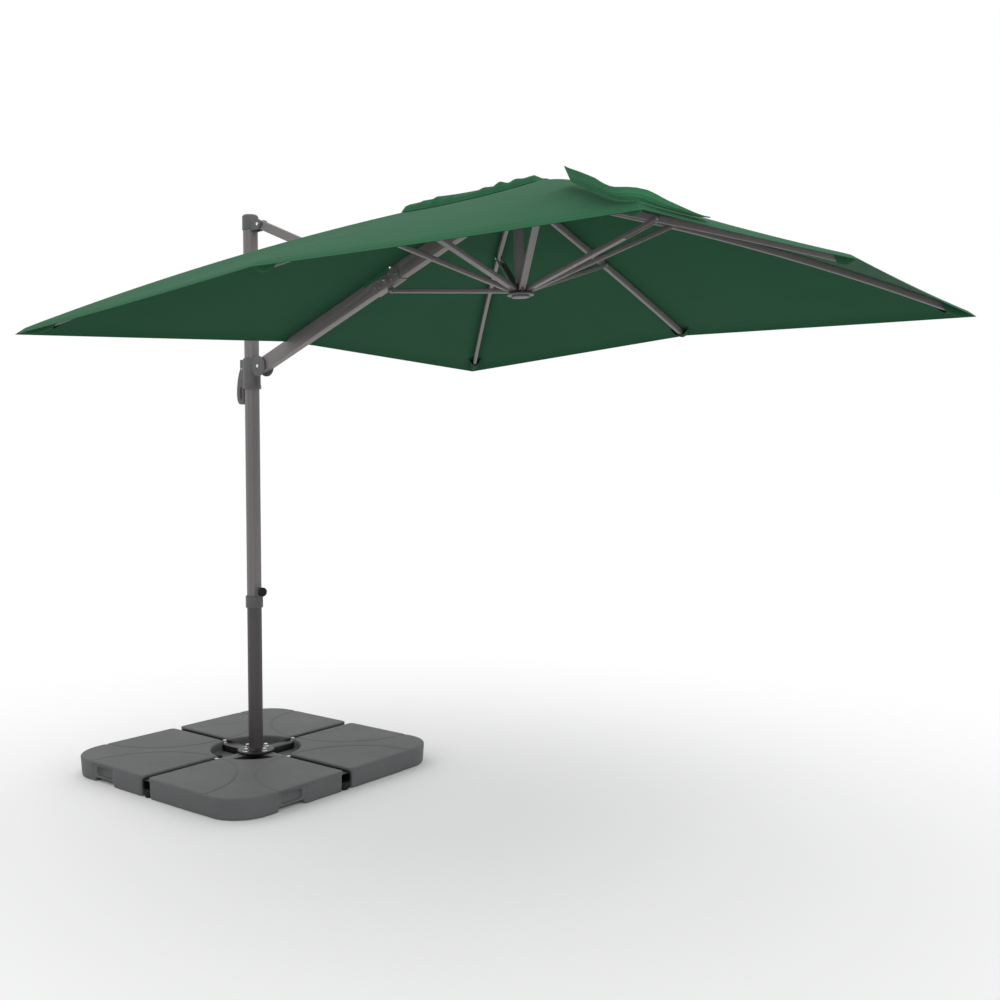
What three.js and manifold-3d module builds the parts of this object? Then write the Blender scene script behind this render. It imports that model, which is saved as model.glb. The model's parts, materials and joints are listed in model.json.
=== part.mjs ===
// Square cantilever patio umbrella on a cross base with four fillable tanks.
// Millimetres, +Z up. The origin is on the ground under the mast, and the boom points along +X.
import * as THREE from "three";
import { mergeVertices } from "three/addons/utils/BufferGeometryUtils.js";
import Module from "manifold-3d";

const wasm = await Module();
wasm.setup();

// Gap between faces that touch on the real object.
const GAP = 0.3;

// Base: four square tanks round a steel cross.
const BASE_SIDE = 1280;
const TANK_HEIGHT = 96;
const TANK_SPLIT = 36;
const TANK_CORNER = 180;
const TANK_EDGE = 10;
const RECESS_RADIUS = 217;
const RECESS_FLOOR = 48;
const FLANGE_RADIUS = 88;
const BEAM_WIDTH = 60;
const BEAM_BOTTOM = 30;
const BEAM_TOP = 78;
const BEAM_WALL = 3;
const BEAM_SETBACK = 10;

// Mast: a lower pole with a flange, a clamp collar and a turning upper tube.
const MAST_RADIUS = 35;
const MAST_BORE = 27;
const SPIGOT_LENGTH = 200;
const COLLAR_BOTTOM = 790;
const COLLAR_TOP = 848;
const COLLAR_RADIUS = 42;
const KNOB_HEIGHT = 870;
const MAST_TOP = 2650;

// Linkage: two equal links, TOP pivot to ARM pivot and SLIDER pivot to ARM pivot.
const PIVOT_X = 78;
const TOP_PIVOT_Z = 2640;
const SLIDER_Z = 1965;
const ARM_REACH = 830;
const LINK_DROP = (TOP_PIVOT_Z - SLIDER_Z) / 2;
const LINK = Math.hypot(ARM_REACH, LINK_DROP);
const OPEN_ANGLE = Math.atan2(LINK_DROP, ARM_REACH);
const CLOSED_ANGLE = THREE.MathUtils.degToRad(60.5);
const PIN_RADIUS = 8;

// Main rib: the boom that carries the hub and one line of the canopy.
const MAIN_RIB_LENGTH = 1607;
const MAIN_RIB_WIDTH = 40;
const MAIN_RIB_HALF_HEIGHT = 33;
const RIB_END_TAPER = 140;

// Canopy frame: hub, seven ribs, eight struts and a runner.
const CANOPY_TILT = THREE.MathUtils.degToRad(2.56);
const CANOPY_HALF_SIDE = 1360;
const HINGE_RADIUS = 45;
const RIB_WIDTH = 18;
const RIB_HALF_HEIGHT = 14;
const SIDE_SLOPE = THREE.MathUtils.degToRad(19.13);
const CORNER_SLOPE = THREE.MathUtils.degToRad(15.42);
const SIDE_SLOPE_CLOSED = THREE.MathUtils.degToRad(85);
const CORNER_SLOPE_CLOSED = THREE.MathUtils.degToRad(85.5);
const SIDE_BOW = 8;
const CORNER_BOW = 45;
const RUNNER_DROP = 370;
const RUNNER_DROP_CLOSED = 1224;
const DRUM_RADIUS = 28;
const RUNNER_RADIUS = 20;
const DRUM_HALF_HEIGHT = 20;
const LUG_THICKNESS = 8;
const LUG_RADIUS = 12;
const STRUT_WIDTH = 26;
const STRUT_HALF_HEIGHT = 9;
const LUG_SLOT = LUG_THICKNESS + 1.2;
const STRUT_LUG_OFFSET = 52;

// Cloth.
const CLOTH_THICKNESS = 4;
const CLOTH_START = 62;
const CLOTH_CLEARANCE = 4.6;

const SEGMENTS = 24;

function paint(color, roughness, metalness) {
  return new THREE.MeshStandardMaterial({ color, roughness, metalness });
}

const tankPlastic = paint(0x48494a, 0.6, 0);
const blackSteel = paint(0x161616, 0.45, 0.6);
const anthracite = paint(0x5f5f60, 0.4, 0.7);
const blackPlastic = paint(0x1b1b1b, 0.5, 0);
const zinc = paint(0xb9bcc0, 0.3, 0.9);
const rubber = paint(0x121212, 0.85, 0);
const greenCloth = paint(0x22483a, 0.9, 0);
const greenWebbing = paint(0x3c7855, 0.9, 0);

// Turns a closed three.js geometry into a solid, after an optional move.
function solid(geometry, matrix = new THREE.Matrix4()) {
  const plain = (geometry.index ? geometry.toNonIndexed() : geometry).clone();
  plain.applyMatrix4(matrix);
  plain.deleteAttribute("normal");
  plain.deleteAttribute("uv");
  const merged = mergeVertices(plain, 1e-3);
  return new wasm.Manifold(
    new wasm.Mesh({
      numProp: 3,
      vertProperties: merged.attributes.position.array,
      triVerts: new Uint32Array(merged.index.array),
    }),
  );
}

// Adds a named mesh of a solid to a group.
function piece(group, name, body, material) {
  const { vertProperties, triVerts } = body.getMesh();
  const geometry = new THREE.BufferGeometry();
  geometry.setAttribute("position", new THREE.BufferAttribute(vertProperties, 3));
  geometry.setIndex(new THREE.BufferAttribute(triVerts, 1));
  const mesh = new THREE.Mesh(geometry.toNonIndexed(), material);
  mesh.geometry.computeVertexNormals();
  mesh.name = name;
  group.add(mesh);
}

// A box between two corners.
function box([x0, y0, z0], [x1, y1, z1]) {
  const geometry = new THREE.BoxGeometry(x1 - x0, y1 - y0, z1 - z0);
  return solid(geometry.translate((x0 + x1) / 2, (y0 + y1) / 2, (z0 + z1) / 2));
}

// A rod along X, Y or Z, centred on a point.
function rod(axis, radius, length, x = 0, y = 0, z = 0, segments = SEGMENTS) {
  const geometry = new THREE.CylinderGeometry(radius, radius, length, segments);
  if (axis === "x") geometry.rotateZ(Math.PI / 2);
  if (axis === "z") geometry.rotateX(Math.PI / 2);
  return solid(geometry.translate(x, y, z));
}

// A turned piece about Z, from [radius, height] points in a closed loop, anticlockwise.
function turned(points, segments = SEGMENTS) {
  const loop = [...points, points[0]].map(([r, z]) => new THREE.Vector2(r, z));
  const geometry = new THREE.LatheGeometry(loop, segments);
  return solid(geometry.rotateX(Math.PI / 2));
}

// A side outline of [x, z] points, thickened evenly to both sides of the XZ plane.
function sidePlate(points, width, holes = []) {
  const outline = new THREE.Shape(points.map(([x, z]) => new THREE.Vector2(x, z)));
  for (const hole of holes)
    outline.holes.push(new THREE.Path(hole.map(([x, z]) => new THREE.Vector2(x, z))));
  const geometry = new THREE.ExtrudeGeometry(outline, { depth: width, bevelEnabled: false });
  return solid(geometry.rotateX(Math.PI / 2).translate(0, width / 2, 0));
}

// A straight bar along X with rounded ends, from x0 to x1.
function bar(x0, x1, width, halfHeight) {
  return box([x0, -width / 2, -halfHeight], [x1, width / 2, halfHeight])
    .add(rod("y", halfHeight, width, x0))
    .add(rod("y", halfHeight, width, x1));
}

function group(parent, x = 0, y = 0, z = 0) {
  const made = new THREE.Group();
  made.position.set(x, y, z);
  parent.add(made);
  return made;
}

const umbrella = new THREE.Group();

// ---- Base -------------------------------------------------------------------------------

// One tank, in the quadrant +X −Y, with its hand-hold on the +X side.
function tank() {
  const outer = BASE_SIDE / 2 - TANK_EDGE;
  const inner = TANK_SPLIT / 2 + TANK_EDGE;
  const round = TANK_CORNER - TANK_EDGE;
  const small = 20;
  const outline = new THREE.Shape();
  outline.moveTo(inner, -inner);
  outline.lineTo(inner, -outer + small);
  outline.absarc(inner + small, -outer + small, small, Math.PI, 1.5 * Math.PI, false);
  outline.lineTo(outer - round, -outer);
  outline.absarc(outer - round, -outer + round, round, 1.5 * Math.PI, 2 * Math.PI, false);
  outline.lineTo(outer, -inner - small);
  outline.absarc(outer - small, -inner - small, small, 0, Math.PI / 2, false);
  const block = new THREE.ExtrudeGeometry(outline, {
    depth: TANK_HEIGHT - 2 * TANK_EDGE,
    bevelSize: TANK_EDGE,
    bevelThickness: TANK_EDGE,
    bevelSegments: 1,
    curveSegments: 5,
  });
  const beam = BEAM_WIDTH / 2 + 1;
  const reach = BASE_SIDE;
  const handHold = [BASE_SIDE / 2 - 28, -BASE_SIDE / 4 - 70, 30];
  return solid(block.translate(0, 0, TANK_EDGE))
    .subtract(box([-reach, -beam, -1], [reach, beam, BEAM_TOP + 2]))
    .subtract(box([-beam, -reach, -1], [beam, reach, BEAM_TOP + 2]))
    .subtract(rod("z", RECESS_RADIUS, 100, 0, 0, RECESS_FLOOR + 50, 48))
    .subtract(rod("z", FLANGE_RADIUS + 5, 100, 0, 0, RECESS_FLOOR))
    .subtract(box(handHold, [reach, -BASE_SIDE / 4 + 50, 72]));
}

function base(parent) {
  const half = BEAM_WIDTH / 2;
  const end = BASE_SIDE / 2 - BEAM_SETBACK;
  const places = ["front_right", "front_left", "rear_left", "rear_right"];
  const mould = tank();
  places.forEach((place, index) => {
    const turn = group(parent);
    turn.rotation.z = (index * Math.PI) / 2;
    piece(turn, `tank_${place}`, mould, tankPlastic);
    piece(turn, `filler_plug_${place}`, fillerPlug(), blackPlastic);
  });
  const hollow = (body, low, high) => body.subtract(box(low, high));
  const wall = half - BEAM_WALL;
  const low = BEAM_BOTTOM + BEAM_WALL;
  const high = BEAM_TOP - BEAM_WALL;
  const beam = box([-end, -half, BEAM_BOTTOM], [end, half, BEAM_TOP]);
  piece(parent, "cross_beam", hollow(beam, [-700, -wall, low], [700, wall, high]), blackSteel);
  ["left", "right"].forEach((side, index) => {
    const turn = group(parent);
    turn.rotation.z = index * Math.PI;
    const arm = box([-half, half + GAP, BEAM_BOTTOM], [half, end, BEAM_TOP]);
    piece(turn, `cross_arm_${side}`, hollow(arm, [-wall, 0, low], [wall, 700, high]), blackSteel);
  });
  const footRadius = 25;
  const footHeight = BEAM_BOTTOM - GAP;
  ["front", "left", "rear", "right"].forEach((side, index) => {
    const turn = group(parent);
    turn.rotation.z = (index * Math.PI) / 2;
    const foot = rod("z", footRadius, footHeight, end - footRadius + 5, 0, footHeight / 2, 16);
    piece(turn, `levelling_foot_${side}`, foot, rubber);
  });
  piece(parent, "centre_foot", rod("z", 29, footHeight, 0, 0, footHeight / 2, 16), rubber);
}

// The screw plug of a tank, on the floor of the central recess.
function fillerPlug() {
  const height = 9;
  const place = 128;
  return rod("z", 18, height, place, -place, RECESS_FLOOR + GAP + height / 2, 16);
}

// ---- Mast -------------------------------------------------------------------------------

function lowerPole(parent) {
  const foot = BEAM_TOP + GAP;
  const bore = MAST_RADIUS - 4;
  const pole = turned([
    [bore, foot],
    [FLANGE_RADIUS, foot],
    [FLANGE_RADIUS, foot + 8],
    [MAST_RADIUS + 8, foot + 8],
    [MAST_RADIUS, foot + 18],
    [MAST_RADIUS, COLLAR_BOTTOM + 6],
    [bore, COLLAR_BOTTOM + 6],
  ]);
  piece(parent, "lower_pole", pole, anthracite);
  const inside = MAST_RADIUS + 0.5;
  const ring = turned([
    [inside, COLLAR_BOTTOM],
    [COLLAR_RADIUS, COLLAR_BOTTOM],
    [COLLAR_RADIUS, COLLAR_TOP],
    [inside, COLLAR_TOP],
  ]);
  const boss = box([30, -13, COLLAR_TOP - 30], [50, 13, KNOB_HEIGHT + 14]);
  const bore2 = rod("z", inside, 200, 0, 0, KNOB_HEIGHT);
  piece(parent, "clamp_collar", ring.add(boss.subtract(bore2)), blackPlastic);
  piece(parent, "clamp_knob", rod("x", 22, 20, 50 + GAP + 10, 0, KNOB_HEIGHT, 12), blackPlastic);
}

function upperMast(parent) {
  const start = COLLAR_BOTTOM + 6 + GAP;
  const tube = turned([
    [MAST_BORE, start - SPIGOT_LENGTH],
    [MAST_RADIUS - 4.5, start - SPIGOT_LENGTH],
    [MAST_RADIUS - 4.5, start],
    [MAST_RADIUS, start],
    [MAST_RADIUS, MAST_TOP],
    [MAST_BORE, MAST_TOP],
  ]);
  piece(parent, "mast", tube, anthracite);
  const cap = turned([
    [0, MAST_TOP + GAP],
    [MAST_RADIUS + GAP, MAST_TOP + GAP],
    [MAST_RADIUS + GAP, MAST_TOP - 28],
    [MAST_RADIUS + 4, MAST_TOP - 28],
    [MAST_RADIUS + 4, MAST_TOP + 36],
    [MAST_RADIUS - 3, MAST_TOP + 44],
    [0, MAST_TOP + 44],
  ]);
  const ear = sidePlate([[10, -28], [PIVOT_X, -24], [PIVOT_X + 20, -12], [PIVOT_X + 24, 4],
    [PIVOT_X + 14, 20], [PIVOT_X, 24], [10, 28]], 46)
    .translate([0, 0, TOP_PIVOT_Z]);
  const mouth = box([MAST_RADIUS + 8, -16.5, TOP_PIVOT_Z - 60], [PIVOT_X + 60, 16.5, TOP_PIVOT_Z + 60]);
  const mastHole = rod("z", MAST_RADIUS + GAP, 200, 0, 0, MAST_TOP + GAP - 100);
  const pinHole = rod("y", PIN_RADIUS + GAP, 80, PIVOT_X, 0, TOP_PIVOT_Z, 16);
  const head = cap.add(ear.subtract(mouth)).subtract(mastHole).subtract(pinHole);
  piece(parent, "mast_cap", head, blackPlastic);
  piece(parent, "top_pin", rod("y", PIN_RADIUS, 54, PIVOT_X, 0, TOP_PIVOT_Z, 16), zinc);
}

// ---- Slider -----------------------------------------------------------------------------

function slider(parent) {
  const carriage = group(parent, 0, 0, SLIDER_Z);
  const outer = 42;
  const sleeve = rod("z", outer, 145, 0, 0, -32.5);
  const ring = rod("z", outer + 2, 20, 0, 0, -97);
  const disc = rod("y", 48, 60, PIVOT_X);
  const mouth = box([outer + 1, -22, -60], [PIVOT_X + 60, 22, 60]);
  const cheeks = box([-70, -15, -62], [-30, 15, 36]);
  const leverSlot = box([-80, -9, -70], [-outer - 2, 9, 24]);
  const bore = rod("z", MAST_RADIUS + 1, 300);
  const pinHole = rod("y", PIN_RADIUS + GAP, 80, PIVOT_X, 0, 0, 16);
  const leverHole = rod("y", 4 + GAP, 60, -60, 0, -8, 12);
  const body = sleeve
    .add(ring)
    .add(disc.subtract(mouth))
    .add(cheeks.subtract(leverSlot))
    .subtract(bore)
    .subtract(pinHole)
    .subtract(leverHole);
  piece(carriage, "slider_sleeve", body, blackPlastic);
  piece(carriage, "slider_pin", rod("y", PIN_RADIUS, 68, PIVOT_X, 0, 0, 16), zinc);
  const loop = [[-52, -20], [-54, -2], [-62, 4], [-72, -6], [-88, -40], [-100, -90],
    [-102, -130], [-96, -164], [-82, -180], [-56, -180], [-50, -170], [-50, -66]];
  const window = [[-60, -72], [-78, -72], [-85, -110], [-84, -146], [-76, -164], [-60, -164]];
  const lever = sidePlate(loop, 16, [window]).subtract(rod("y", 4 + GAP, 60, -60, 0, -8, 12));
  piece(carriage, "release_lever", lever, blackPlastic);
  piece(carriage, "lever_pin", rod("y", 4, 29, -60, 0, -8, 12), zinc);
}

// ---- Upper arm and main rib -------------------------------------------------------------

function upperArm(parent) {
  const arm = group(parent, PIVOT_X, 0, TOP_PIVOT_Z);
  arm.rotation.y = OPEN_ANGLE;
  const stop = LINK - 82;
  const plate = bar(stop - 30, LINK, 56, 20);
  const straddle = box([stop, -24.2, -40], [LINK + 40, 24.2, 40]);
  const pinHole = rod("y", PIN_RADIUS - 1 + GAP, 80, LINK, 0, 0, 16);
  const tube = bar(0, stop - 10, 30, 20)
    .subtract(rod("y", PIN_RADIUS + GAP, 80, 0, 0, 0, 16))
    .add(plate.subtract(straddle))
    .subtract(pinHole);
  piece(arm, "upper_arm", tube, anthracite);
  piece(arm, "arm_pin", rod("y", PIN_RADIUS - 1, 66, LINK, 0, 0, 16), zinc);
}

// The slot and hole-free fork that lets a bar turn on a hub or runner lug at x.
function lugSlot(x, direction, halfHeight) {
  const inward = x + direction * 60;
  const outward = x - direction * (LUG_RADIUS + 5);
  const y = LUG_SLOT / 2;
  const z = halfHeight + 1;
  return box([Math.min(inward, outward), -y, -z], [Math.max(inward, outward), y, z]);
}

function mainRib(parent, strutLug) {
  const rib = group(parent, PIVOT_X, 0, SLIDER_Z);
  rib.rotation.y = -OPEN_ANGLE;
  const tall = MAIN_RIB_HALF_HEIGHT;
  const neck = MAIN_RIB_LENGTH - 60;
  const low = RIB_HALF_HEIGHT;
  const outline = [[10, -tall], [neck - RIB_END_TAPER, -tall], [neck, -low], [neck, low],
    [neck - RIB_END_TAPER, tall], [10, tall]];
  const body = sidePlate(outline, MAIN_RIB_WIDTH)
    .add(rod("y", tall - 2, MAIN_RIB_WIDTH))
    .add(bar(neck - 10, MAIN_RIB_LENGTH, RIB_WIDTH, low))
    .subtract(rod("y", PIN_RADIUS + GAP, 80, 0, 0, 0, 16))
    .subtract(rod("y", PIN_RADIUS - 1 + GAP, 80, LINK, 0, 0, 16))
    .subtract(lugSlot(MAIN_RIB_LENGTH, 1, low));
  piece(rib, "main_rib", body, anthracite);

  const halfWidth = MAIN_RIB_WIDTH / 2 + GAP;
  const outside = halfWidth + 3;
  const under = -tall - 3;
  const lug = box([strutLug.along - LUG_RADIUS, -LUG_THICKNESS / 2, -STRUT_LUG_OFFSET],
    [strutLug.along + LUG_RADIUS, LUG_THICKNESS / 2, under])
    .add(rod("y", LUG_RADIUS, LUG_THICKNESS, strutLug.along, 0, -STRUT_LUG_OFFSET));
  const saddle = box([LINK - 85, -outside, under], [LINK + 85, outside, tall - 8])
    .subtract(box([LINK - 100, -halfWidth, -tall - GAP], [LINK + 100, halfWidth, tall + 10]))
    .add(lug)
    .subtract(rod("y", PIN_RADIUS - 1 + GAP, 80, LINK, 0, 0, 16));
  piece(rib, "rib_bracket", saddle, blackSteel);
}

// ---- Canopy frame -----------------------------------------------------------------------

// Distance from hub hinge to strut pivot for which one strut reaches the runner at both ends
// of the fold, and that strut's length. Slopes are those of the line to the strut pivot.
function strutGeometry(openSlope, closedSlope) {
  const strutAt = (reach) =>
    Math.hypot(reach * Math.cos(openSlope), RUNNER_DROP - reach * Math.sin(openSlope));
  const closedDrop = (reach) =>
    reach * Math.sin(closedSlope) +
    Math.sqrt(strutAt(reach) ** 2 - (reach * Math.cos(closedSlope)) ** 2);
  let near = 300;
  let far = 1000;
  while (far - near > 0.001) {
    const middle = (near + far) / 2;
    if (closedDrop(middle) < RUNNER_DROP_CLOSED) near = middle;
    else far = middle;
  }
  return { reach: near, strut: strutAt(near) };
}

function tipRadius(index) {
  return CANOPY_HALF_SIDE * (isCorner(index) ? Math.SQRT2 : 1);
}

function ribSlope(index) {
  return isCorner(index) ? CORNER_SLOPE : SIDE_SLOPE;
}

// Rise of a bowed rib above its straight line, at a distance from its hinge.
function ribRise(index, along) {
  const share = (along * Math.cos(ribSlope(index))) / (tipRadius(index) - HINGE_RADIUS);
  return 4 * (isCorner(index) ? CORNER_BOW : SIDE_BOW) * share * (1 - share);
}

// A rib's strut. The pivot stands in the bowed rib, so its line from the hinge is less steep than
// the rib by the lift. The lift and the pivot's place depend on each other, and settle in rounds.
function ribStrut(index) {
  const slope = ribSlope(index);
  const closed = isCorner(index) ? CORNER_SLOPE_CLOSED : SIDE_SLOPE_CLOSED;
  let lift = 0;
  for (let round = 0; round < 12; round += 1) {
    const along = strutGeometry(slope - lift, closed - lift).reach * Math.cos(lift);
    lift = Math.atan2(ribRise(index, along), along);
  }
  return { ...strutGeometry(slope - lift, closed - lift), lift };
}

// A drum with radial lugs at 45 degree steps, on which bars turn at HINGE_RADIUS.
function luggedDrum(radius, top, bottom, lugs) {
  let drum = rod("z", radius, top - bottom, 0, 0, (top + bottom) / 2);
  for (let index = 0; index < lugs; index += 1) {
    const lug = box([10, -LUG_THICKNESS / 2, -LUG_RADIUS], [HINGE_RADIUS, LUG_THICKNESS / 2, LUG_RADIUS])
      .add(rod("y", LUG_RADIUS, LUG_THICKNESS, HINGE_RADIUS, 0, 0, 16));
    drum = drum.add(lug.rotate([0, 0, index * 45]));
  }
  return drum;
}

function rib(frame, name, index, pivot) {
  const hinge = group(frame, HINGE_RADIUS, 0, 0);
  hinge.rotation.y = ribSlope(index);
  const length = (tipRadius(index) - HINGE_RADIUS) / Math.cos(ribSlope(index)) - 20;
  const steps = 14;
  const lower = [];
  const upper = [];
  for (let step = 0; step <= steps; step += 1) {
    const along = (length * step) / steps;
    const rise = ribRise(index, along);
    lower.push([along, rise - RIB_HALF_HEIGHT]);
    upper.unshift([along, rise + RIB_HALF_HEIGHT]);
  }
  const pivotX = pivot.reach * Math.cos(pivot.lift);
  const pivotHole = rod("y", 3, 60, pivotX, 0, pivot.reach * Math.sin(pivot.lift), 12);
  const body = sidePlate([...lower, ...upper], RIB_WIDTH)
    .add(rod("y", RIB_HALF_HEIGHT, RIB_WIDTH))
    .subtract(lugSlot(0, -1, RIB_HALF_HEIGHT))
    .subtract(pivotHole);
  piece(hinge, name, body, anthracite);
}

// A strut from its pivot on a rib to its pivot on the runner, with a fork at both ends.
function strut(frame, name, pivotRadius, pivotHeight, length, forkGap, forkLength) {
  const pivot = group(frame, pivotRadius, 0, pivotHeight);
  pivot.rotation.y = Math.PI - Math.asin((RUNNER_DROP + pivotHeight) / length);
  const slot = box([-30, -forkGap / 2, -20], [forkLength, forkGap / 2, 20]);
  const body = bar(0, length, STRUT_WIDTH, STRUT_HALF_HEIGHT)
    .subtract(slot)
    .subtract(lugSlot(length, 1, STRUT_HALF_HEIGHT));
  piece(pivot, name, body, anthracite);
}

// The eight canopy lines, anticlockwise from +X. The fifth is carried by the main rib.
const LINES = ["front", "front_left", "left", "rear_left", "boom", "rear_right", "right", "front_right"];

function isCorner(index) {
  return index % 2 === 1;
}

// Point of the cloth's lower face on a canopy line, at a share of the way to its tip.
function clothPoint(index, share) {
  const line = (index + 8) % 8;
  const slope = line === 4 ? OPEN_ANGLE - CANOPY_TILT : ribSlope(line);
  const radius = CLOTH_START + (tipRadius(line) - CLOTH_START) * share;
  const along = (radius - HINGE_RADIUS) / Math.cos(slope);
  const taper = THREE.MathUtils.clamp((along - 60) / RIB_END_TAPER, 0, 1);
  const boomExtra = (MAIN_RIB_HALF_HEIGHT - RIB_HALF_HEIGHT) * taper;
  const extra = line === 4 ? boomExtra : ribRise(line, along);
  const top = (RIB_HALF_HEIGHT + extra) / Math.cos(slope) + CLOTH_CLEARANCE;
  const height = top - (radius - HINGE_RADIUS) * Math.tan(slope);
  const azimuth = (line * Math.PI) / 4;
  return new THREE.Vector3(radius * Math.cos(azimuth), radius * Math.sin(azimuth), height);
}

// The cloth on both sides of one line, out to the middle of the next gore each way.
function clothWing(index) {
  const shares = [0, 0.03, 0.14, 0.27, 0.4, 0.55, 0.7, 0.85, 1];
  const across = [-0.4995, -0.25, 0, 0.25, 0.4995];
  const positions = [];
  const faces = [];
  for (const layer of [CLOTH_THICKNESS, 0])
    for (const share of shares)
      for (const side of across) {
        const mine = clothPoint(index, share);
        const next = clothPoint(index + Math.sign(side), share);
        const point = mine.lerp(next, Math.abs(side));
        positions.push(point.x, point.y, point.z + layer);
      }
  const columns = across.length;
  const rows = shares.length;
  const at = (layer, row, column) => (layer * rows + row) * columns + column;
  const quad = (a, b, c, d) => faces.push(a, b, c, a, c, d);
  for (let row = 0; row < rows - 1; row += 1)
    for (let column = 0; column < columns - 1; column += 1) {
      quad(at(0, row, column), at(0, row + 1, column), at(0, row + 1, column + 1), at(0, row, column + 1));
      quad(at(1, row, column), at(1, row, column + 1), at(1, row + 1, column + 1), at(1, row + 1, column));
    }
  for (let row = 0; row < rows - 1; row += 1) {
    quad(at(0, row, 0), at(1, row, 0), at(1, row + 1, 0), at(0, row + 1, 0));
    const last = columns - 1;
    quad(at(0, row, last), at(0, row + 1, last), at(1, row + 1, last), at(1, row, last));
  }
  for (let column = 0; column < columns - 1; column += 1) {
    quad(at(0, 0, column), at(0, 0, column + 1), at(1, 0, column + 1), at(1, 0, column));
    const last = rows - 1;
    quad(at(0, last, column), at(1, last, column), at(1, last, column + 1), at(0, last, column + 1));
  }
  const geometry = new THREE.BufferGeometry();
  geometry.setAttribute("position", new THREE.Float32BufferAttribute(positions, 3));
  geometry.setIndex(faces);
  return solid(geometry);
}

// Slit in the cloth over the main rib, for the upper arm.
function armSlit() {
  const boomSlope = OPEN_ANGLE - CANOPY_TILT;
  const radiusAt = (along) => HINGE_RADIUS + (MAIN_RIB_LENGTH - along) * Math.cos(boomSlope);
  return box([-radiusAt(LINK - 112), -36, -700], [-radiusAt(LINK + 62), 36, 100]);
}

// The closing strap: a stiff band that stands on edge. It lies along the ridge of one corner, from
// its loose end to its seam on the canopy's edge, a little round from the corner.
function tieStrap() {
  const height = 34;
  const lift = height / 2 + 8;
  const corner = 7;
  // Share of the way to the tip, share of the way to the next line, and extra lift.
  const places = [
    [0.6, -0.08, 16],
    [0.65, -0.04, 6],
    [0.7, 0, 0],
    [0.8, 0.03, 0],
    [0.88, 0.07, 0],
    [0.92, 0.12, 0],
    [0.97, 0.19, 0],
    [0.995, 0.21, 0],
  ];
  const spine = places.map(([share, side, extra]) => {
    const point = clothPoint(corner, share);
    point.lerp(clothPoint(corner + (side < 0 ? -1 : 1), share), Math.abs(side));
    point.z += CLOTH_THICKNESS + lift + extra;
    return point;
  });
  const faces = [];
  const positions = spine.flatMap((point, index) => {
    const before = spine[Math.max(index - 1, 0)];
    const after = spine[Math.min(index + 1, spine.length - 1)];
    const across = new THREE.Vector3(after.y - before.y, before.x - after.x, 0).normalize();
    const corners = [[-1, -1], [1, -1], [1, 1], [-1, 1]];
    return corners.flatMap(([side, up]) => {
      const corner3 = point.clone().addScaledVector(across, side);
      return [corner3.x, corner3.y, corner3.z + (up * height) / 2];
    });
  });
  for (let index = 0; index < spine.length - 1; index += 1)
    for (let side = 0; side < 4; side += 1) {
      const a = index * 4 + side;
      const b = index * 4 + ((side + 1) % 4);
      faces.push(a, b + 4, b, a, a + 4, b + 4);
    }
  const end = (spine.length - 1) * 4;
  faces.push(0, 1, 2, 0, 2, 3, end, end + 2, end + 1, end, end + 3, end + 2);
  const geometry = new THREE.BufferGeometry();
  geometry.setAttribute("position", new THREE.Float32BufferAttribute(positions, 3));
  geometry.setIndex(faces);
  return solid(geometry);
}

function canopy(parent) {
  const along = MAIN_RIB_LENGTH * Math.cos(OPEN_ANGLE);
  const up = MAIN_RIB_LENGTH * Math.sin(OPEN_ANGLE);
  const hub = group(parent, PIVOT_X + along, 0, SLIDER_Z + up);
  hub.rotation.y = -CANOPY_TILT;
  const frame = group(hub, HINGE_RADIUS, 0, 0);

  piece(frame, "hub", luggedDrum(DRUM_RADIUS, DRUM_HALF_HEIGHT, -DRUM_HALF_HEIGHT, 8), blackPlastic);
  const cap = turned([
    [0, DRUM_HALF_HEIGHT + GAP],
    [78, DRUM_HALF_HEIGHT + GAP],
    [78, DRUM_HALF_HEIGHT + 4],
    [60, DRUM_HALF_HEIGHT + 13],
    [0, DRUM_HALF_HEIGHT + 18],
  ]);
  piece(frame, "crown_cap", cap, blackPlastic);
  const postTop = -DRUM_HALF_HEIGHT - GAP;
  const postFoot = -RUNNER_DROP + DRUM_HALF_HEIGHT + 1;
  const post = rod("z", 21, postTop - postFoot, 0, 0, (postTop + postFoot) / 2);
  piece(frame, "centre_post", post, anthracite);
  const runner = luggedDrum(RUNNER_RADIUS, DRUM_HALF_HEIGHT, -DRUM_HALF_HEIGHT - 6, 1);
  piece(frame, "runner", runner.translate([0, 0, -RUNNER_DROP]), blackPlastic);

  LINES.forEach((line, index) => {
    const turn = group(frame);
    turn.rotation.z = (index * Math.PI) / 4;
    const wing = index === 4 ? clothWing(index).subtract(armSlit()) : clothWing(index);
    piece(frame, `cloth_${line}`, wing, greenCloth);
    if (index === 4) {
      const { reach, strut: length } = boomStrut();
      const slope = boomLugSlope();
      const radius = HINGE_RADIUS + reach * Math.cos(slope);
      strut(turn, `strut_${line}`, radius, -reach * Math.sin(slope), length, LUG_SLOT, 20);
      return;
    }
    const pivot = ribStrut(index);
    const slope = ribSlope(index) - pivot.lift;
    const radius = HINGE_RADIUS + pivot.reach * Math.cos(slope);
    const drop = pivot.reach * Math.sin(slope);
    rib(turn, `rib_${line}`, index, pivot);
    strut(turn, `strut_${line}`, radius, -drop, pivot.strut, RIB_WIDTH + 1.2, 150);
  });
  piece(frame, "tie_strap", tieStrap(), greenWebbing);
}

// The boom's strut hangs on a lug under the main rib, so its line is steeper than the rib.
// The lug's place and its slope depend on each other, and a few rounds settle them.
function boomLugSlope() {
  let slope = OPEN_ANGLE - CANOPY_TILT;
  for (let round = 0; round < 8; round += 1) {
    const extra = slope - (OPEN_ANGLE - CANOPY_TILT);
    const { reach } = strutGeometry(slope, CLOSED_ANGLE + extra);
    slope = OPEN_ANGLE - CANOPY_TILT + Math.asin(STRUT_LUG_OFFSET / reach);
  }
  return slope;
}

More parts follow.
